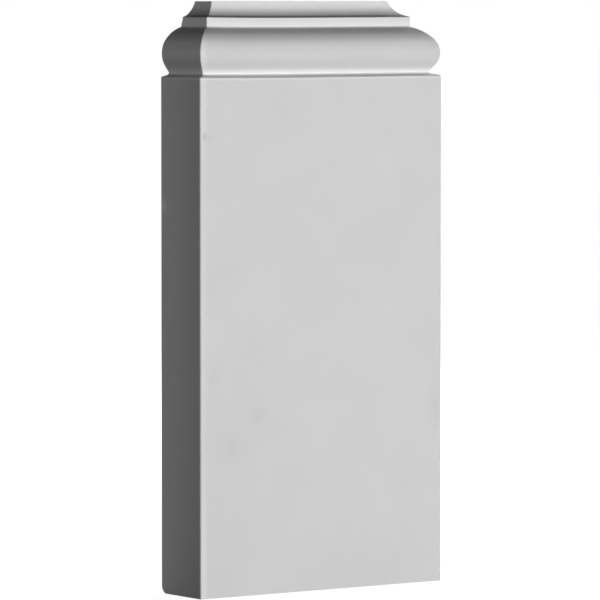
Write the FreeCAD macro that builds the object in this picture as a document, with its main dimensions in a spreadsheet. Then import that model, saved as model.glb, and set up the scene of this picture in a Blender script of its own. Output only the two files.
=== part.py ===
import FreeCAD, Part
import enum
import math
import os
import Sketcher

# Plinth block for the foot of a door casing: a plain block under a moulded cap. The cap's profile runs
# across the front and returns, mitred, along both sides to a flat back. It is moulded as one piece.
# The block stands on its base, centred on X and Y, with its front towards -Y and its flat back towards +Y.

# Driving dimensions in millimetres. An inset is measured inwards from the faces of the plain block.
SIZES = {
    "width": 127.0,  # plain block, side to side
    "depth": 30.0,  # plain block, front face to back
    "height": 254.0,  # base to the top of the cap
    "arris_radius": 0.8,  # eased front and top edges of the plain block
    "heel_radius": 3.5,  # rounded lower edge at the back
    "ledge_width": 0.4,  # level ledge inside the eased top edge of the plain block
    "neck_inset": 4.0,  # deepest line of the groove under the torus
    "neck_rise": 1.55,  # small hollow, from the ledge up to the neck
    "underside_inset": 2.0,  # where the torus goes over to its straight underside
    "torus_inset": 0.35,  # widest line of the torus
    "torus_radius": 9.7,  # nose of the torus
    "shoulder_inset": 2.6,  # where the nose goes over to the flatter shoulder above it
    "shoulder_radius": 16.0,
    "band_inset": 10.2,  # flat band between the torus and the cove
    "band_height": 3.85,  # from the torus to where the band's edge turns
    "band_arris": 0.5,  # eased top edge of the band
    "cove_radius": 9.5,
    "cove_height": 7.1,  # from where the band's edge turns to the top of the cap
    "cap_inset": 17.3,  # edge of the flat top
    "cap_arris": 0.35,  # eased edge of the flat top
}

doc = FreeCAD.newDocument("plinth_block")
sheet = doc.addObject("Spreadsheet::Sheet", "sizes")
for row, (alias, value) in enumerate(SIZES.items(), start=1):
    sheet.set(f"A{row}", alias)
    sheet.set(f"B{row}", str(value))
    sheet.setAlias(f"B{row}", alias)
doc.recompute()

body = doc.addObject("PartDesign::Body", "plinth_block")
body.Label = "plinth_block"
body.setExpression("Placement.Base.y", "sizes.depth / 2")


class Point(enum.IntEnum):
    """How a constraint names the points of a line or an arc."""

    START = enum.auto()
    END = enum.auto()
    CENTRE = enum.auto()


# How a constraint names a sketch's two axes, which are counted down, and its origin as the start of the first.
ACROSS_AXIS = -1
UP_AXIS = ACROSS_AXIS - 1
ORIGIN = (ACROSS_AXIS, Point.START)


def size(*aliases):
    """The sum of the named driving dimensions."""
    return sum(float(sheet.get(alias)) for alias in aliases)


def leg(slant, other_leg):
    """The third side of a right triangle."""
    return math.sqrt(slant**2 - other_leg**2)


def arc_centre(start, end, radius):
    """The centre of the arc of a radius between two points, on the left of the way from start to end."""
    half_chord = math.dist(start, end) / 2
    across, up = (end[0] - start[0]) / (2 * half_chord), (end[1] - start[1]) / (2 * half_chord)
    rise = leg(radius, half_chord)
    return ((start[0] + end[0]) / 2 - rise * up, (start[1] + end[1]) / 2 + rise * across)


def add_sketch(name, plane_role):
    """An empty sketch of the body on one of its origin planes."""
    sketch = body.newObject("Sketcher::SketchObject", name)
    plane = next(item for item in body.Origin.OriginFeatures if item.Role == plane_role)
    sketch.AttachmentSupport = [(plane, "")]
    sketch.MapMode = "FlatFace"
    return sketch


def add_line(sketch, start, end):
    """A straight line between two points of a sketch."""
    return sketch.addGeometry(Part.LineSegment(FreeCAD.Vector(*start), FreeCAD.Vector(*end)), False)


def add_arc(sketch, centre, radius, start, end):
    """An arc of a sketch, anticlockwise about its centre from the side of one point to that of another."""
    circle = Part.Circle(FreeCAD.Vector(*centre), FreeCAD.Vector(0, 0, 1), radius)
    turns = [math.atan2(point[1] - centre[1], point[0] - centre[0]) for point in (start, end)]
    return sketch.addGeometry(Part.ArcOfCircle(circle, *turns), False)


def constrain(sketch, kind, *where):
    """A constraint that has no size of its own."""
    sketch.addConstraint(Sketcher.Constraint(kind, *where))


def dimension(sketch, label, kind, where, *aliases):
    """A named dimension, bound to the sum of one or more cells of the sheet."""
    index = sketch.addConstraint(Sketcher.Constraint(kind, *where, size(*aliases)))
    sketch.renameConstraint(index, label)
    formula = " + ".join(f"sizes.{alias}" for alias in aliases)
    sketch.setExpression(f"Constraints.{label}", formula)


# Blank: the side section of the block, with its rounded heel, drawn out to the block's width.
# In the body's own frame the back lies on the XZ plane and the base on the XY plane.
depth, height, heel_radius = size("depth"), size("height"), size("heel_radius")
section = add_sketch("side_section", "YZ_Plane")
base = add_line(section, (-heel_radius, 0), (-depth, 0))
front = add_line(section, (-depth, 0), (-depth, height))
top = add_line(section, (-depth, height), (0, height))
back = add_line(section, (0, height), (0, heel_radius))
heel_centre = (-heel_radius, heel_radius)
heel = add_arc(section, heel_centre, heel_radius, (-heel_radius, 0), (0, heel_radius))
constrain(section, "Coincident", base, Point.END, front, Point.START)
constrain(section, "Coincident", front, Point.END, top, Point.START)
constrain(section, "Coincident", top, Point.END, back, Point.START)
constrain(section, "Tangent", back, Point.END, heel, Point.END)
constrain(section, "Tangent", heel, Point.START, base, Point.START)
constrain(section, "Horizontal", base)
constrain(section, "Vertical", front)
constrain(section, "Horizontal", top)
constrain(section, "Vertical", back)
constrain(section, "PointOnObject", base, Point.END, ACROSS_AXIS)
constrain(section, "PointOnObject", back, Point.START, UP_AXIS)
dimension(section, "depth", "DistanceX", (front, Point.START, *ORIGIN), "depth")
dimension(section, "height", "DistanceY", (*ORIGIN, back, Point.START), "height")
dimension(section, "heel_radius", "Radius", (heel,), "heel_radius")

blank = body.newObject("PartDesign::Pad", "blank")
blank.Profile = section
blank.SideType = "Symmetric"
blank.setExpression("Length", "sizes.width")

# Path of the moulding: along the left side, across the front and back along the right side. Both ends run
# out behind the block, as far as the moulding goes in, so that the returns go through to the back.
half_width, run_out = size("width") / 2, size("cap_inset")
path = add_sketch("moulding_path", "XY_Plane")
left_leg = add_line(path, (-half_width, run_out), (-half_width, -depth))
front_leg = add_line(path, (-half_width, -depth), (half_width, -depth))
right_leg = add_line(path, (half_width, -depth), (half_width, run_out))
constrain(path, "Coincident", left_leg, Point.END, front_leg, Point.START)
constrain(path, "Coincident", front_leg, Point.END, right_leg, Point.START)
constrain(path, "Vertical", left_leg)
constrain(path, "Vertical", right_leg)
constrain(path, "Symmetric", front_leg, Point.START, front_leg, Point.END, UP_AXIS)
constrain(path, "Equal", left_leg, right_leg)
dimension(path, "width", "DistanceX", (front_leg, Point.START, front_leg, Point.END), "width")
dimension(path, "depth", "DistanceY", (front_leg, Point.START, *ORIGIN), "depth")
dimension(path, "run_out", "DistanceY", (*ORIGIN, left_leg, Point.START), "cap_inset")

# Section of what the moulding takes off the blank, at the start of the path. Across is the inset from the
# side of the block and up is the height. From the ledge it goes up a small hollow to the neck, up the
# straight underside of the torus, round its nose and its flatter shoulder, up the flat band with its eased
# edge, and up the cove to the flat top. The cove is drawn to the sharp edge of the band, and the constraints
# then fit it to the eased one.
torus_radius, shoulder_radius = size("torus_radius"), size("shoulder_radius")
cove_radius, band_arris = size("cove_radius"), size("band_arris")
cap_edge = (size("cap_inset"), height)
band_top = (size("band_inset"), height - size("cove_height"))
band_foot = (size("band_inset"), band_top[1] - size("band_height"))
cove_centre = arc_centre(band_top, cap_edge, cove_radius)
band_edge_centre = (band_top[0] + band_arris, band_top[1])
torus_across = size("torus_inset", "torus_radius")
nose_turn = math.acos((torus_across - size("shoulder_inset")) / torus_radius)
shoulder_across = size("shoulder_inset") + shoulder_radius * math.cos(nose_turn)
shoulder_level = band_foot[1] - leg(shoulder_radius, shoulder_across - band_foot[0])
shoulder_centre = (shoulder_across, shoulder_level)
shoulder_foot = (size("shoulder_inset"), shoulder_level + shoulder_radius * math.sin(nose_turn))
torus_centre = (torus_across, shoulder_foot[1] - torus_radius * math.sin(nose_turn))
underside_turn = math.acos((torus_across - size("underside_inset")) / torus_radius)
underside_top = (size("underside_inset"), torus_centre[1] - torus_radius * math.sin(underside_turn))
underside_run = size("neck_inset") - size("underside_inset")
neck = (size("neck_inset"), underside_top[1] - underside_run / math.tan(underside_turn))
ledge_end = (size("arris_radius", "ledge_width"), neck[1] - size("neck_rise"))
hollow_radius = math.dist(ledge_end, neck) ** 2 / (2 * size("neck_rise"))
hollow_centre = (ledge_end[0], ledge_end[1] + hollow_radius)
above = height + size("cove_height")
profile = add_sketch("moulding_profile", "XZ_Plane")
profile.setExpression("AttachmentOffset.Base.x", "-sizes.width / 2")
profile.setExpression("AttachmentOffset.Base.z", "-sizes.cap_inset")
ledge = add_line(profile, (-run_out, ledge_end[1]), ledge_end)
hollow = add_arc(profile, hollow_centre, hollow_radius, ledge_end, neck)
underside = add_line(profile, neck, underside_top)
torus = add_arc(profile, torus_centre, torus_radius, shoulder_foot, underside_top)
shoulder = add_arc(profile, shoulder_centre, shoulder_radius, band_foot, shoulder_foot)
band = add_line(profile, band_foot, band_top)
band_edge = add_arc(profile, band_edge_centre, band_arris, cove_centre, band_top)
cove = add_arc(profile, cove_centre, cove_radius, band_top, cap_edge)
riser = add_line(profile, cap_edge, (cap_edge[0], above))
lid = add_line(profile, (cap_edge[0], above), (-run_out, above))
outside = add_line(profile, (-run_out, above), (-run_out, ledge_end[1]))
constrain(profile, "Tangent", ledge, Point.END, hollow, Point.START)
constrain(profile, "Coincident", hollow, Point.END, underside, Point.START)
constrain(profile, "Tangent", underside, Point.END, torus, Point.END)
constrain(profile, "Tangent", torus, Point.START, shoulder, Point.END)
constrain(profile, "Coincident", shoulder, Point.START, band, Point.START)
constrain(profile, "Tangent", band, Point.END, band_edge, Point.END)
constrain(profile, "Tangent", band_edge, Point.START, cove, Point.START)
constrain(profile, "Coincident", cove, Point.END, riser, Point.START)
constrain(profile, "Coincident", riser, Point.END, lid, Point.START)
constrain(profile, "Coincident", lid, Point.END, outside, Point.START)
constrain(profile, "Coincident", outside, Point.END, ledge, Point.START)
constrain(profile, "Horizontal", ledge)
constrain(profile, "Vertical", band)
constrain(profile, "Vertical", riser)
constrain(profile, "Horizontal", lid)
constrain(profile, "Vertical", outside)
dimension(profile, "ledge_end", "DistanceX", (*ORIGIN, ledge, Point.END), "arris_radius", "ledge_width")
dimension(profile, "neck_rise", "DistanceY", (ledge, Point.END, underside, Point.START), "neck_rise")
dimension(profile, "neck_inset", "DistanceX", (*ORIGIN, underside, Point.START), "neck_inset")
dimension(profile, "underside_inset", "DistanceX", (*ORIGIN, underside, Point.END), "underside_inset")
dimension(profile, "torus_centre", "DistanceX", (*ORIGIN, torus, Point.CENTRE), "torus_inset", "torus_radius")
dimension(profile, "torus_radius", "Radius", (torus,), "torus_radius")
dimension(profile, "shoulder_inset", "DistanceX", (*ORIGIN, shoulder, Point.END), "shoulder_inset")
dimension(profile, "shoulder_radius", "Radius", (shoulder,), "shoulder_radius")
dimension(profile, "band_inset", "DistanceX", (*ORIGIN, band, Point.START), "band_inset")
dimension(profile, "band_height", "DistanceY", (band, Point.START, band, Point.END), "band_height")
dimension(profile, "band_arris", "Radius", (band_edge,), "band_arris")
dimension(profile, "cove_height", "DistanceY", (band, Point.END, cove, Point.END), "cove_height")
dimension(profile, "cove_radius", "Radius", (cove,), "cove_radius")
dimension(profile, "cap_inset", "DistanceX", (*ORIGIN, cove, Point.END), "cap_inset")
dimension(profile, "height", "DistanceY", (*ORIGIN, cove, Point.END), "height")
dimension(profile, "above", "DistanceY", (riser, Point.START, riser, Point.END), "cove_height")
dimension(profile, "outside", "DistanceX", (outside, Point.START, *ORIGIN), "cap_inset")

# Cap moulding: the profile run along the path, with square mitres at the two front corners.
moulding = body.newObject("PartDesign::SubtractivePipe", "moulding")
moulding.Profile = profile
moulding.Spine = (path, ["Edge1", "Edge2", "Edge3"])
moulding.Transition = "Right corner"
doc.recompute()
if not moulding.Shape.Volume < blank.Shape.Volume:
    raise RuntimeError("the moulding takes nothing off the blank")

# Eased edges: the front corners and the top rim of the plain block, and the rim of the flat top. Apart from
# the heel, the base and the back have square edges. Each edge is found as the line where two flat faces meet.
TOUCH = 1e-4  # a point this close to a face lies on it
FRONT, LEFT, RIGHT = ("y", -depth), ("x", -half_width), ("x", half_width)
CAP_FRONT = ("y", -depth + cap_edge[0])
CAP_LEFT, CAP_RIGHT = ("x", -half_width + cap_edge[0]), ("x", half_width - cap_edge[0])
SHOULDER, TOP = ("z", profile.getPoint(ledge, Point.END).y), ("z", height)


def ease_edges(name, feature, radius_alias, face_pairs):
    """A fillet on the edges of a feature where the paired faces meet."""
    edges = []
    for number, edge in enumerate(feature.Shape.Edges, start=1):
        ends = [vertex.Point for vertex in edge.Vertexes]
        for pair in face_pairs:
            if all(abs(getattr(end, axis) - place) < TOUCH for axis, place in pair for end in ends):
                edges.append(f"Edge{number}")
    if len(edges) != len(face_pairs):
        raise RuntimeError(f"{name} found {len(edges)} edges of {len(face_pairs)}")
    fillet = body.newObject("PartDesign::Fillet", name)
    fillet.Base = (feature, edges)
    fillet.setExpression("Radius", f"sizes.{radius_alias}")
    doc.recompute()
    return fillet


block_corners = [(FRONT, LEFT), (FRONT, RIGHT)]
block_rims = [(face, SHOULDER) for face in (FRONT, LEFT, RIGHT)]
block_arrises = ease_edges("block_arrises", moulding, "arris_radius", block_corners + block_rims)
cap_rims = [(face, TOP) for face in (CAP_FRONT, CAP_LEFT, CAP_RIGHT)]
ease_edges("cap_arrises", block_arrises, "cap_arris", cap_rims)

for item in doc.Objects:
    if {"Invalid", "Error"} & set(item.State):
        raise RuntimeError(f"{item.Name} did not build: {item.State}")
shape = body.Shape
if shape.isNull() or not shape.isValid() or len(shape.Solids) != 1:
    raise RuntimeError("plinth_block is not one valid solid")
os.makedirs("parts", exist_ok=True)
shape.exportStep(f"parts/{body.Label}.step")
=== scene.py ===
import math

import bpy
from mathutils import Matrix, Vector


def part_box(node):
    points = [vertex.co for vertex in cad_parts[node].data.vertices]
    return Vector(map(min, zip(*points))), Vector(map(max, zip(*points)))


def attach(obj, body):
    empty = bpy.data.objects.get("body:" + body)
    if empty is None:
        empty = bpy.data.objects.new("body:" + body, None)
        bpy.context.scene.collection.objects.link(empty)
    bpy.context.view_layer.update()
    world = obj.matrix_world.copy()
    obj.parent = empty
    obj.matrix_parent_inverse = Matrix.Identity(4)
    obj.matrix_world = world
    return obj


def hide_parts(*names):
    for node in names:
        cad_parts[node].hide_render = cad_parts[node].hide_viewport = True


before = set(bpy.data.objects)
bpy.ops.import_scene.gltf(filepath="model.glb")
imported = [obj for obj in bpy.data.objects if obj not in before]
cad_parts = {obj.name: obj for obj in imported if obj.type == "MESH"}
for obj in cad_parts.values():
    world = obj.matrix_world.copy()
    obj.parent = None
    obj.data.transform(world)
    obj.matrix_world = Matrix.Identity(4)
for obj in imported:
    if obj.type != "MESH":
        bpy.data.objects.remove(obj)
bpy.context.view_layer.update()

# Moulded block.
# The whole plinth block is one piece of rigid foam, cast in a mould and primed white there. Its cap
# moulding runs across the front and returns along both sides to the flat back, so it is one section run
# round one plan. Insets are measured inwards from the plain block's faces, and levels from the floor.
mm = 0.001
low_corner, high_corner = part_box("plinth_block")
width, depth, height = high_corner - low_corner
arris_radius = 0.8 * mm  # eased front corners and top rim of the plain block
mitre_radius = 0.3 * mm  # how far the mould softens the mitres of the moulding
heel_radius = 3.5 * mm  # rounded lower edge at the back
ledge_slope = 15  # degrees by which the ledge on top of the plain block falls towards its rim
ledge_end = 3.3 * mm  # inner end of the ledge
neck_inset = 4.0 * mm  # deepest line of the groove under the torus
neck_rise = 1.5 * mm  # from the rim of the ledge up to the neck
underside_inset = 2.0 * mm  # where the torus goes over to its straight underside
torus_inset = 0.35 * mm  # widest line of the torus
torus_radius = 9.7 * mm
shoulder_inset = 2.6 * mm  # where the torus goes over to the flatter shoulder above it
shoulder_radius = 16.0 * mm
band_inset = 10.2 * mm  # flat band between the torus and the cove
band_height = 3.85 * mm
band_arris = 0.5 * mm
cove_radius = 9.5 * mm
cove_height = 7.1 * mm  # from where the band's edge turns to the flat top
cap_inset = 17.3 * mm  # edge of the flat top
cap_arris = 0.35 * mm
crease_radius = 0.5 * mm  # primer that fills the corner between the torus and the band
nick_x, nick_level = -61.4 * mm, 196.5 * mm  # small dent in the front, beside its left corner
nick_margin = 6 * mm  # how far above and below the nick the section's points lie close together
worn_level = 246.8 * mm  # worn corner of the band, at the back of the left end
inwards, upwards, outwards, downwards = 0, 90, 180, -90  # directions in the section, in degrees


def bearing(start, end):
    """The direction from one point of the section to another, in degrees."""
    return math.degrees(math.atan2(end[1] - start[1], end[0] - start[0]))


def steps(start, end, count):
    """Evenly spaced numbers from start to end, both included."""
    return [start + (end - start) * i / count for i in range(count + 1)]


def line(start, end, count):
    """Points of the section along a straight line between two of them."""
    return list(zip(steps(start[0], end[0], count), steps(start[1], end[1], count)))


def arc(centre, radius, start, end, count):
    """Points of the section along an arc between two directions in degrees."""
    turns = [math.radians(degrees) for degrees in steps(start, end, count)]
    return [(centre[0] + radius * math.cos(a), centre[1] + radius * math.sin(a)) for a in turns]


def circles_meet(centre_a, radius_a, centre_b, radius_b):
    """The point on the left of the way from a to b where two circles of the section cross."""
    apart = math.dist(centre_a, centre_b)
    along = (apart**2 + radius_a**2 - radius_b**2) / (2 * apart)
    aside = math.sqrt(radius_a**2 - along**2)
    across, up = (centre_b[0] - centre_a[0]) / apart, (centre_b[1] - centre_a[1]) / apart
    return (centre_a[0] + along * across - aside * up, centre_a[1] + along * up + aside * across)


# The cap's own points follow from its sizes, from the top down: the cove with its two edges, the shoulder
# and the torus, the groove, and the ledge.
band_top = height - cove_height
band_foot = band_top - band_height
band_edge = (band_inset + band_arris, band_top)
cove = circles_meet(band_edge, cove_radius + band_arris, (cap_inset, height), cove_radius)
cap_edge_level = height - cap_arris
cap_edge_reach = math.sqrt((cove_radius + cap_arris) ** 2 - (cove[1] - cap_edge_level) ** 2)
cap_edge = (cove[0] + cap_edge_reach, cap_edge_level)
torus_across = torus_inset + torus_radius
nose_turn = math.acos((torus_across - shoulder_inset) / torus_radius)
shoulder_across = shoulder_inset + shoulder_radius * math.cos(nose_turn)
shoulder_drop = math.sqrt(shoulder_radius**2 - (shoulder_across - band_inset) ** 2)
shoulder = (shoulder_across, band_foot - shoulder_drop)
crease_across = band_inset - crease_radius
crease_drop = math.sqrt((shoulder_radius + crease_radius) ** 2 - (shoulder_across - crease_across) ** 2)
crease = (crease_across, shoulder[1] + crease_drop)
torus = (torus_across, shoulder[1] + (shoulder_radius - torus_radius) * math.sin(nose_turn))
underside_turn = math.acos((torus_across - underside_inset) / torus_radius)
underside_top = torus[1] - torus_radius * math.sin(underside_turn)
nose_top, nose_foot = outwards - math.degrees(nose_turn), outwards + math.degrees(underside_turn)
neck = (neck_inset, underside_top - (neck_inset - underside_inset) / math.tan(underside_turn))
ledge = neck[1] - neck_rise
slope = math.radians(ledge_slope)
rim_inset = arris_radius * (1 - math.sin(slope))
hollow_foot = (ledge_end, ledge + (ledge_end - rim_inset) * math.tan(slope))
hollow_turn = math.radians(bearing(hollow_foot, neck)) - slope
hollow_radius = math.dist(hollow_foot, neck) / (2 * math.sin(hollow_turn))
hollow = (ledge_end - hollow_radius * math.sin(slope), hollow_foot[1] + hollow_radius * math.cos(slope))
face_top = ledge - arris_radius * math.cos(slope)

# The section from the flat top down to the heel, as pairs of inset and level. Each stretch starts where the
# one before it ends.
above_nick, below_nick = (0.0, nick_level + nick_margin), (0.0, nick_level - nick_margin)
stretches = [
    arc(cap_edge, cap_arris, upwards, bearing(cap_edge, cove), count=4),
    arc(cove, cove_radius, bearing(cove, cap_edge), bearing(cove, band_edge), count=26),
    arc(band_edge, band_arris, bearing(band_edge, cove), outwards, count=4),
    line((band_inset, band_top), (band_inset, crease[1]), count=6),
    arc(crease, crease_radius, inwards, bearing(crease, shoulder), count=5),
    arc(shoulder, shoulder_radius, bearing(shoulder, crease), nose_top, count=16),
    arc(torus, torus_radius, nose_top, nose_foot, count=32),
    line((underside_inset, underside_top), neck, count=8),
    arc(hollow, hollow_radius, bearing(hollow, neck), downwards + ledge_slope, count=10),
    line(hollow_foot, (rim_inset, ledge), count=6),
    arc((arris_radius, face_top), arris_radius, upwards + ledge_slope, outwards, count=6),
    line((0.0, face_top), above_nick, count=12),
    line(above_nick, below_nick, count=48),
    line(below_nick, (0.0, heel_radius), count=60),
]
section = stretches[0][:1]
for stretch in stretches:
    section += stretch[1:]

# The heel is drawn in at the back alone, so each point has an inset for the back as well.
heel = arc((heel_radius, heel_radius), heel_radius, outwards, outwards + 90, count=10)[1:]
section_points = [(inset, 0.0, level) for inset, level in section]
section_points += [(0.0, back_inset, level) for back_inset, level in heel]


class Wire:
    """An output socket of a node. Arithmetic on wires adds Math nodes to their tree."""

    def __init__(self, socket):
        self.socket = socket

    @classmethod
    def add(cls, tree, kind, settings=(), inputs=(), output=0):
        """Adds a node: its settings first, then a value or a wire for each input that is named."""
        node = tree.nodes.new(kind)
        for name, value in dict(settings).items():
            setattr(node, name, value)
        for key, value in dict(inputs).items():
            if isinstance(value, Wire):
                tree.links.new(value.socket, node.inputs[key])
            else:
                node.inputs[key].default_value = value
        return cls(node.outputs[output]) if len(node.outputs) else None

    def beside(self, output):
        """Another output of the same node."""
        return Wire(self.socket.node.outputs[output])

    def math(self, operation, *others, clamp=False):
        """A Math node on this wire and any others."""
        inputs = dict(enumerate((self, *others)))
        settings = {"operation": operation, "use_clamp": clamp}
        return Wire.add(self.socket.id_data, "ShaderNodeMath", settings, inputs)

    def __add__(self, other):
        return self.math("ADD", other)

    def __sub__(self, other):
        return self.math("SUBTRACT", other)

    def __rsub__(self, other):
        return self.math("MULTIPLY_ADD", -1.0, other)

    def __mul__(self, other):
        return self.math("MULTIPLY", other)

    def __truediv__(self, other):
        return self.math("DIVIDE", other)

    def __neg__(self):
        return self.math("MULTIPLY", -1.0)

    __radd__ = __add__
    __rmul__ = __mul__


def rise(wire, start, end):
    """0 up to the start of a range, 1 from its end on, and a smooth rise between."""
    settings = {"interpolation_type": "SMOOTHSTEP"}
    inputs = {"Value": wire, "From Min": start, "From Max": end}
    return Wire.add(wire.socket.id_data, "ShaderNodeMapRange", settings, inputs)


def within(wire, low, high, soft):
    """1 between two values, and a smooth fall to 0 outside them."""
    return rise(wire, low - soft, low) * rise(wire, high + soft, high)


def grade(share, low, high):
    """A value that goes from low to high as a share goes from 0 to 1."""
    return low + (high - low) * share


def spot(*offsets):
    """1 in the middle of a soft spot, falling to 0 outside it. The offsets are in its half sizes."""
    return (-sum(offset * offset for offset in offsets)).math("EXPONENT")


def section_run_tree():
    """Runs a section, drawn as a line from top to bottom, round the plan of a block with a flat back."""
    tree = bpy.data.node_groups.new("section_run", "GeometryNodeTree")
    sockets = {
        "Section": "Geometry",
        "Width": "Float",
        "Depth": "Float",
        "Arris Radius": "Float",
        "Mitre Radius": "Float",
        "Front Columns": "Int",
        "Side Columns": "Int",
        "Back Columns": "Int",
        "Corner Columns": "Int",
        "Crowding": "Float",
        "Nick Across": "Float",
        "Nick Up": "Float",
        "Nick Half Width": "Float",
        "Nick Half Height": "Float",
        "Nick Depth": "Float",
        "Cap Foot": "Float",
        "Cap Lean": "Float",
        "Worn Up": "Float",
        "Worn Half Height": "Float",
        "Worn Length": "Float",
        "Worn Depth": "Float",
        "Sag": "Float",
        "Groove": "Float",
        "Ledge": "Float",
        "Band Top": "Float",
        "Top": "Float",
        "Crease": "Float",
        "Finish": "Material",
    }
    for name, kind in sockets.items():
        tree.interface.new_socket(name=name, in_out="INPUT", socket_type=f"NodeSocket{kind}")
    tree.interface.new_socket(name="Block", in_out="OUTPUT", socket_type="NodeSocketGeometry")
    group = tree.nodes.new("NodeGroupInput")
    given = {name: Wire(group.outputs[name]) for name in sockets}
    front, side = given["Front Columns"], given["Side Columns"]
    back, corner = given["Back Columns"], given["Corner Columns"]

    # A tube of as many rings as the section has points. Its columns go round the plan from the front left.
    columns = front + back + 2 * side + 2 * corner
    rings = Wire.add(tree, "GeometryNodeAttributeDomainSize", inputs={"Geometry": given["Section"]})
    tube = Wire.add(
        tree,
        "GeometryNodeMeshCylinder",
        {"fill_type": "NGON"},
        {"Vertices": columns, "Side Segments": rings - 1},
    )
    index = Wire.add(tree, "GeometryNodeInputIndex")
    column = index.math("MODULO", columns)
    ring = ((index + 0.5) / columns).math("FLOOR")

    # How far each column is along the plan's sides, and which way its rounded front corners face there. The
    # front's columns lie closer together towards its ends.
    def stretch_share(first, count):
        return ((column - first) / count).math("ADD", 0.0, clamp=True)

    right_side = front + corner
    back_run = right_side + side
    left_side = back_run + back
    along_front, along_back = stretch_share(0, front), stretch_share(back_run, back)
    front_share = along_front - given["Crowding"] * (along_front * math.tau).math("SINE") / math.tau
    across = front_share - along_back
    towards_back = stretch_share(right_side, side) - stretch_share(left_side, side)
    right_turn = stretch_share(front, corner) * (math.pi / 2)
    left_turn = stretch_share(left_side + side, corner) * (math.pi / 2)
    facing_x = right_turn.math("SINE") - 2 * along_back + (1 - left_turn.math("COSINE"))
    facing_y = -(right_turn.math("COSINE") + left_turn.math("SINE"))

    # Each ring is the plan, drawn in by the section's insets, with its front corners rounded.
    section_point = Wire.add(
        tree,
        "GeometryNodeSampleIndex",
        {"data_type": "FLOAT_VECTOR", "domain": "POINT"},
        {
            "Geometry": given["Section"],
            "Value": Wire.add(tree, "GeometryNodeInputPosition"),
            "Index": ring,
        },
    )
    inset = Wire.add(tree, "ShaderNodeSeparateXYZ", inputs={0: section_point})
    back_inset, level = inset.beside("Y"), inset.beside("Z")
    rounding = (given["Arris Radius"] - inset).math("MAXIMUM", given["Mitre Radius"])
    half_run = given["Width"] / 2 - inset - rounding
    front_line = inset + rounding - given["Depth"] / 2
    back_line = given["Depth"] / 2 - back_inset
    x = (2 * across - 1) * half_run + facing_x * rounding
    y = grade(towards_back, front_line, back_line) + facing_y * rounding

    # A shallow nick in the front face.
    nick_across = (x - given["Nick Across"]) / given["Nick Half Width"]
    nick_up = (level - given["Nick Up"]) / given["Nick Half Height"]
    at_front = 1 - towards_back.math("GREATER_THAN", 0.0)
    hollowed = spot(nick_across, nick_up) * given["Nick Depth"] * at_front

    # The cap came out of the mould a little to the right, least at the front of its left end, and a corner
    # of its band is worn at the back of that end.
    to_right = x / given["Width"] + 0.5
    to_back = y / given["Depth"] + 0.5
    on_cap = level.math("GREATER_THAN", given["Cap Foot"])
    back_lean = 0.2  # what the back of the left end has of the whole lean
    leaning = on_cap * given["Cap Lean"] * grade(to_right, back_lean * to_back, 1.0)
    worn_up = (level - given["Worn Up"]) / given["Worn Half Height"]
    worn_back = rise(y, back_line - given["Worn Length"], back_line)
    worn = spot(worn_up) * worn_back * x.math("LESS_THAN", 0.0) * given["Worn Depth"]

    # The moulding sags along the front, most a third of the way along, but not in its groove or at the top.
    sag_peak = 4 / 27  # what the next line reaches before it is divided
    sag_shape = front_share * (1 - front_share) * (1 - front_share) / sag_peak
    below_groove = rise(level, given["Groove"], given["Ledge"])
    above_groove = rise(level, given["Groove"], given["Cap Foot"])
    off_ends = rise(level, 0.0, given["Groove"]) * rise(level, given["Top"], given["Band Top"])
    sagging = given["Sag"] * sag_shape * (below_groove + above_groove) * off_ends

    # Each point keeps its level in the section, which the paint follows.
    point = {0: x + leaning + worn, 1: y + hollowed, 2: level - sagging}
    position = Wire.add(tree, "ShaderNodeCombineXYZ", inputs=point)
    block = Wire.add(tree, "GeometryNodeSetPosition", inputs={"Geometry": tube, "Position": position})
    block = Wire.add(
        tree,
        "GeometryNodeStoreNamedAttribute",
        {"data_type": "FLOAT", "domain": "POINT"},
        {"Geometry": block, "Name": "section_level", "Value": level},
    )

    # The flat top and base and the creases of the section stay crisp.
    face_corners = Wire.add(tree, "GeometryNodeInputMeshFaceNeighbors")
    four_sided = face_corners.math("LESS_THAN", 5.0)
    edge_turn = Wire.add(tree, "GeometryNodeInputMeshEdgeAngle")
    gentle = edge_turn.math("LESS_THAN", given["Crease"])
    for domain, smooth in (("FACE", four_sided), ("EDGE", gentle)):
        block = Wire.add(
            tree,
            "GeometryNodeSetShadeSmooth",
            {"domain": domain},
            {"Geometry": block, "Shade Smooth": smooth},
        )
    block = Wire.add(tree, "GeometryNodeRealizeInstances", inputs={"Geometry": block})
    painted = {"Geometry": block, "Material": given["Finish"]}
    block = Wire.add(tree, "GeometryNodeSetMaterial", inputs=painted)
    Wire.add(tree, "NodeGroupOutput", inputs={"Block": block})
    return tree


def blend(factor, before, after):
    """One colour where the factor is 0 and another where it is 1."""
    inputs = {0: factor, 6: before, 7: after}
    return Wire.add(factor.socket.id_data, "ShaderNodeMix", {"data_type": "RGBA"}, inputs, output=2)


def mottle(place, grain, detail):
    """Cloudy unevenness between 0 and 1, in patches of a size."""
    inputs = {"Vector": place, "Scale": 1 / grain, "Detail": detail, "Roughness": 0.55}
    return Wire.add(place.socket.id_data, "ShaderNodeTexNoise", inputs=inputs)


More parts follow.
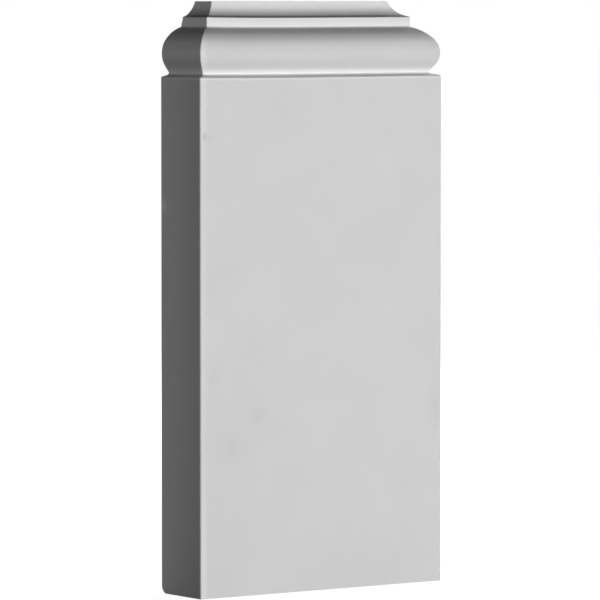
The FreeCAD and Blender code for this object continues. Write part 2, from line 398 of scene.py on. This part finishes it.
primer_white = (0.72, 0.72, 0.72, 1.0)
pale_white = (0.90, 0.90, 0.90, 1.0)  # white of the painted highlights in the moulding and along the left front corner, and of a pale spot on the left side
# Grey of the clouds and smudges, and of the painted shade on the plain sides and underneath the torus
smudge_and_shade_grey = (0.52, 0.52, 0.52, 1.0)
# Grey of the painted shade where the moulding faces up, along the ledge's rim and in the nick
shade_grey = (0.38, 0.38, 0.38, 1.0)
# Darkest grey, of the painted shade in the foot of the cove
crease_shade_grey = (0.16, 0.16, 0.16, 1.0)
pale_spot_y, pale_spot_level = 13.2 * mm, 166.5 * mm  # pale spot on the left side, at its back edge
pale_spot_half_depth, pale_spot_half_height = 2.0 * mm, 3.5 * mm
nick_shade_half_width, nick_shade_half_height = 0.7 * mm, 1.6 * mm  # painted shade in the nick
hand_marks = [
    # across, up, half width, half height
    (-58.6 * mm, 196.0 * mm, 2.4 * mm, 1.2 * mm),
    (-33.7 * mm, 77.0 * mm, 3.2 * mm, 4.0 * mm),
    (-47.2 * mm, 64.0 * mm, 3.8 * mm, 4.0 * mm),
    (-57.0 * mm, 94.3 * mm, 3.0 * mm, 3.2 * mm),
    (60.5 * mm, 77.0 * mm, 3.0 * mm, 9.0 * mm),
]


def primer_finish():
    """Matte white primer: cloudy, with painted highlights in the moulding and on the left corner, painted
    shade on top.
    """
    material = bpy.data.materials.new("white_primer")
    material.use_nodes = True
    tree = material.node_tree
    place = Wire.add(tree, "ShaderNodeTexCoord", output="Object")
    x = Wire.add(tree, "ShaderNodeSeparateXYZ", inputs={0: place})
    y = x.beside("Y")
    level = Wire.add(tree, "ShaderNodeAttribute", {"attribute_name": "section_level"}, output="Fac")
    normal = Wire.add(tree, "ShaderNodeNewGeometry", output="Normal")
    facing_x = Wire.add(tree, "ShaderNodeSeparateXYZ", inputs={0: normal})
    facing_y, facing_up = facing_x.beside("Y"), facing_x.beside("Z")

    # The front, sides and back by the way they face, and the moulding's returns by the lines of its mitres.
    at_front = rise(facing_y, start=-0.6, end=-0.9)
    at_side = rise(facing_x * facing_x, start=0.3, end=0.7)
    off_back = rise(facing_y, start=0.7, end=0.3)
    mitre_reach = (width - depth) / 2
    past_mitre = x.math("ABSOLUTE") + y - mitre_reach
    on_return = rise(past_mitre, start=-0.1 * mm, end=0.1 * mm)

    # Clouds all over, and painted shade on the plain sides, most of all towards the front.
    clouds = mottle(place, grain=26 * mm, detail=3.0)
    plain_side = at_side * rise(level, start=ledge, end=ledge - 1 * mm)
    towards_back = rise(y, start=-depth / 2, end=depth / 2)
    side_shade = blend(grade(towards_back, 0.03, 0.63), smudge_and_shade_grey, primer_white)

    # Painted highlights in the groove, on the band and at the top.
    in_groove = within(level, neck[1] - 1.1 * mm, neck[1] - 0.1 * mm, soft=2.4 * mm)
    on_band = within(level, band_foot - 0.4 * mm, band_top, soft=0.4 * mm)
    band_highlight = grade(rise(level, start=band_top, end=band_foot), 0.4, 0.75) + 0.3 * at_side
    at_top = rise(level, start=height - 5 * mm, end=height - 2 * mm)
    moulding_highlight = (0.9 * in_groove + band_highlight * on_band + at_top) * off_back

    # A painted highlight along the left front corner, more at its top and foot, and a pale spot at the left
    # side's back edge.
    from_left_mitre = x - y + mitre_reach
    corner_highlight = rise(from_left_mitre, start=4.4 * mm, end=0.8 * mm) * at_front
    highlight_higher = rise(level, start=188 * mm, end=200 * mm)
    highlight_lower = rise(level, start=60 * mm, end=20 * mm)
    pale_spot = spot((y - pale_spot_y) / pale_spot_half_depth, (level - pale_spot_level) / pale_spot_half_height)
    on_left = rise(x, start=0.0, end=-width / 4)

    # Smudges on the front, and painted shade in its nick.
    patchy = rise(mottle(place, grain=2.5 * mm, detail=2.0), start=0.35, end=0.65)
    smudges = sum(
        spot((x - mark_x) / half_width, (level - mark_level) / half_height)
        for mark_x, mark_level, half_width, half_height in hand_marks
    )
    in_nick = spot((x - nick_x) / nick_shade_half_width, (level - nick_level) / nick_shade_half_height)

    # Painted shade where the moulding faces up: most under the band and on the returns, least in the
    # crease.
    above_neck = grade(rise(level, start=neck[1], end=neck[1] + 2 * mm), 0.65, 1.0)
    below_cove = rise(level, start=band_top + 3.4 * mm, end=band_top + 0.3 * mm)
    under_band = within(level, band_foot - 2.2 * mm, band_foot - 1.0 * mm, soft=1.4 * mm)
    in_crease = within(level, band_foot - 0.5 * mm, band_foot + 0.4 * mm, soft=0.4 * mm)
    upward_shade_depth = 0.57 + 0.06 * patchy + 0.25 * under_band + 0.2 * on_return - 0.35 * in_crease
    upward_shade = rise(facing_up, start=0.45, end=0.88) * above_neck * below_cove * upward_shade_depth

    # Painted shade along the ledge's rim, in the foot of the cove and underneath the torus.
    on_rim = within(level, face_top, ledge, soft=0.3 * mm) * rise(facing_up, start=0.05, end=0.5)
    cove_levels = within(level, band_top + 0.25 * mm, band_top + 0.9 * mm, soft=0.35 * mm)
    cove_foot = cove_levels * rise(facing_up, start=0.15, end=0.5)
    torus_levels = rise(level, start=neck[1] + 0.5 * mm, end=neck[1] + 3.5 * mm)
    underneath = torus_levels * rise(facing_up, start=0.05, end=-0.4)

    coats = [
        # paint, and how far it covers what is under it
        (smudge_and_shade_grey, 0.30 * clouds),
        (side_shade, 0.85 * plain_side),
        (pale_white, moulding_highlight),
        (pale_white, corner_highlight * (0.2 + 0.2 * highlight_higher + 0.25 * highlight_lower)),
        (pale_white, 0.8 * pale_spot * at_side * on_left),
        (smudge_and_shade_grey, smudges * at_front * grade(patchy, 0.12, 0.24)),
        (shade_grey, 0.5 * in_nick * at_front),
        (shade_grey, upward_shade),
        (shade_grey, 0.28 * on_rim),
        (crease_shade_grey, cove_foot * grade(on_return, 0.75, 0.95)),
        (smudge_and_shade_grey, underneath * grade(at_side, 0.22, 1.0)),
    ]
    colour = primer_white
    for paint, cover in coats:
        colour = blend(cover, colour, paint)

    # A fine stipple, and a surface that is duller where it is cloudy or has painted shade facing up.
    stipple = mottle(place, grain=1.1 * mm, detail=2.0)
    raised = {"Strength": 0.12, "Distance": 0.1 * mm, "Height": stipple}
    relief = Wire.add(tree, "ShaderNodeBump", inputs=raised)
    roughness = 0.76 + 0.08 * clouds + 0.1 * upward_shade
    shader = tree.nodes["Principled BSDF"]
    shader.inputs["Specular IOR Level"].default_value = 0.12
    for name, wire in {"Base Color": colour, "Roughness": roughness, "Normal": relief}.items():
        tree.links.new(wire.socket, shader.inputs[name])
    return material


run_sizes = {
    "Width": width,
    "Depth": depth,
    "Arris Radius": arris_radius,
    "Mitre Radius": mitre_radius,
    "Front Columns": 140,
    "Side Columns": 24,
    "Back Columns": 16,
    "Corner Columns": 6,
    "Crowding": 0.7,
    "Nick Across": nick_x,
    "Nick Up": nick_level,
    "Nick Half Width": 0.6 * mm,
    "Nick Half Height": 1.5 * mm,
    "Nick Depth": 0.4 * mm,
    "Cap Foot": band_foot,
    "Cap Lean": 0.6 * mm,
    "Worn Up": worn_level,
    "Worn Half Height": 2.0 * mm,
    "Worn Length": 7 * mm,
    "Worn Depth": 0.8 * mm,
    "Sag": 0.26 * mm,
    "Groove": neck[1],
    "Ledge": ledge,
    "Band Top": band_top,
    "Top": height,
    "Crease": math.radians(30),
    "Finish": primer_finish(),
}
section_line = bpy.data.meshes.new("section_line")
section_line.from_pydata(section_points, [(i, i + 1) for i in range(len(section_points) - 1)], [])
moulded_block = bpy.data.objects.new("moulded_block", section_line)
bpy.context.scene.collection.objects.link(moulded_block)
run = moulded_block.modifiers.new("section_run", "NODES")
run.node_group = section_run_tree()
for socket in run.node_group.interface.items_tree:
    if socket.in_out == "INPUT" and socket.name in run_sizes:
        run[socket.identifier] = run_sizes[socket.name]
evaluated = moulded_block.evaluated_get(bpy.context.evaluated_depsgraph_get())
moulded_block.data = bpy.data.meshes.new_from_object(evaluated)
moulded_block.data.materials.pop(index=0)  # the empty slot that a new tube starts with
moulded_block.modifiers.remove(run)
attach(moulded_block, "root")
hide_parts("plinth_block")

# Floor.
# A plain matte floor that the block stands on. To the eye it glows white, a little weaker round the block,
# and it keeps the block's soft shadow. To the block it is grey, so that little light comes up from it.
floor_half = 30.0  # metres
floor_grey = (0.25, 0.25, 0.25, 1.0)
near_glow, far_glow = 0.93, 1.0
near_reach, far_reach = 0.15, 0.6  # metres from the block's foot between which the glow rises
floor_mesh = bpy.data.meshes.new("floor")
floor_mesh.from_pydata(
    [(x * floor_half, y * floor_half, 0.0) for x, y in ((-1, -1), (1, -1), (1, 1), (-1, 1))],
    [],
    [(0, 1, 2, 3)],
)
floor = bpy.data.objects.new("floor", floor_mesh)
bpy.context.scene.collection.objects.link(floor)


def seen_directly(tree):
    """1 for what the eye, a reflection or a view through glass meets, 0 for light on other surfaces."""
    camera = Wire.add(tree, "ShaderNodeLightPath", output="Is Camera Ray")
    glossy, through = camera.beside("Is Glossy Ray"), camera.beside("Is Transmission Ray")
    return camera.math("MAXIMUM", glossy).math("MAXIMUM", through)


def floor_finish():
    """Matte grey, with a white glow to the eye."""
    material = bpy.data.materials.new("floor_white")
    material.use_nodes = True
    tree = material.node_tree
    tree.nodes.clear()
    place = Wire.add(tree, "ShaderNodeTexCoord", output="Object")
    away = Wire.add(tree, "ShaderNodeVectorMath", {"operation": "LENGTH"}, {0: place}, output="Value")
    glow = grade(rise(away, near_reach, far_reach), near_glow, far_glow) * seen_directly(tree)
    shaded = Wire.add(tree, "ShaderNodeBsdfDiffuse", inputs={"Color": floor_grey})
    glowing = Wire.add(tree, "ShaderNodeEmission", inputs={"Strength": glow})
    surface = Wire.add(tree, "ShaderNodeAddShader", inputs={0: shaded, 1: glowing})
    Wire.add(tree, "ShaderNodeOutputMaterial", inputs={"Surface": surface})
    return material


floor_mesh.materials.append(floor_finish())

# Light.
# A soft box low in front lights the face. Behind the block, a weak narrow one lights the left side, and a
# large high one lights the right side, the back and the top. The world is dim, but white to the eye.
lamps = {
    # name: azimuth in degrees, height, distance, width and length in metres, and watts
    "front": (0, 0.13, 1.2, 0.24, 0.20, 11.5),
    "rear_left": (-130, 0.225, 0.60, 0.10, 0.42, 0.49),
    "rear_right": (132, 0.70, 1.2, 0.60, 0.60, 17.0),
}
block_middle = Vector((0, 0, height / 2))
for name, (lamp_azimuth, lamp_height, lamp_distance, lamp_width, lamp_length, watts) in lamps.items():
    light = bpy.data.lights.new(name, "AREA")
    light.shape = "RECTANGLE"
    light.size, light.size_y = lamp_width, lamp_length
    light.energy = watts
    lamp = bpy.data.objects.new(name, light)
    bpy.context.scene.collection.objects.link(lamp)
    turn = math.radians(lamp_azimuth)
    lamp.location = (lamp_distance * math.sin(turn), -lamp_distance * math.cos(turn), lamp_height)
    lamp.rotation_euler = (block_middle - lamp.location).to_track_quat("-Z", "Y").to_euler()
    lamp.visible_camera = False
dim_strength = 0.025
white = (1.0, 1.0, 1.0, 1.0)
world = bpy.data.worlds.new("studio")
bpy.context.scene.world = world
world.use_nodes = True
world_tree = world.node_tree
world_tree.nodes.clear()
strength = grade(seen_directly(world_tree), dim_strength, 1.0)
sky = Wire.add(world_tree, "ShaderNodeBackground", inputs={"Color": white, "Strength": strength})
Wire.add(world_tree, "ShaderNodeOutputWorld", inputs={"Surface": sky})

# Camera.
# A long lens at the height of the cap, well to the left of the front. It is aimed at about the middle of
# the block, and its distance and aim are in metres.
camera_azimuth, camera_elevation = math.radians(-34.996), math.radians(3.286)
camera_distance = 2.2092
aim = Vector((0.00566, 0.01027, 0.12411))
camera = bpy.data.objects.new("camera", bpy.data.cameras.new("camera"))
camera.data.sensor_width = 36.0
camera.data.lens = 304.30
bpy.context.scene.collection.objects.link(camera)
backwards = Vector(
    (
        math.sin(camera_azimuth) * math.cos(camera_elevation),
        -math.cos(camera_azimuth) * math.cos(camera_elevation),
        math.sin(camera_elevation),
    )
)
camera.location = aim + backwards * camera_distance
camera.rotation_mode = "QUATERNION"
camera.rotation_quaternion = (-backwards).to_track_quat("-Z", "Y")
bpy.context.scene.camera = camera
bpy.context.scene.view_settings.view_transform = "Standard"
